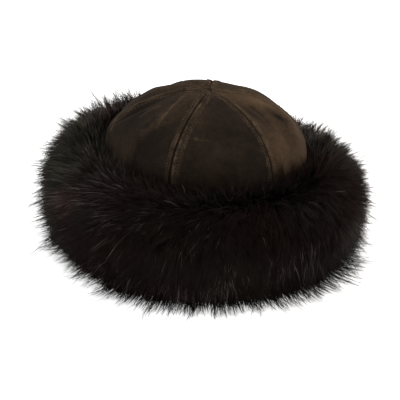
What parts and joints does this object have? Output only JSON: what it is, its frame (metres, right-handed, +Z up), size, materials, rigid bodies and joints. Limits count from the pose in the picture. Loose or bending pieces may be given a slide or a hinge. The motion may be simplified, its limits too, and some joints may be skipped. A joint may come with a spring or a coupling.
{
  "type": "fur-cuffed suede toque hat",
  "caption": "Soft dome-shaped toque hat sewn from suede gores, with a deep turned-up cuff of long dark fur that hides its wall and that it rests on.",
  "frame": {"origin": "on the surface that the hat rests on, on the crown's axis", "axes": "+Z up through the crown's point, and the front gore faces -Y"},
  "size_m": [0.3146, 0.3142, 0.1529],
  "materials": {
    "suede": "dark brown nubuck suede with a soft nap, worn lighter along its seams",
    "fur": "long soft near-black brown fur with a slight sheen"
  },
  "bodies": {
    "root": {"crown_gore_front": "suede", "crown_gore_front_right": "suede", "crown_gore_back_right": "suede", "crown_gore_back": "suede", "crown_gore_back_left": "suede", "crown_gore_front_left": "suede", "fur_cuff": "fur"}
  },
  "joints": []
}
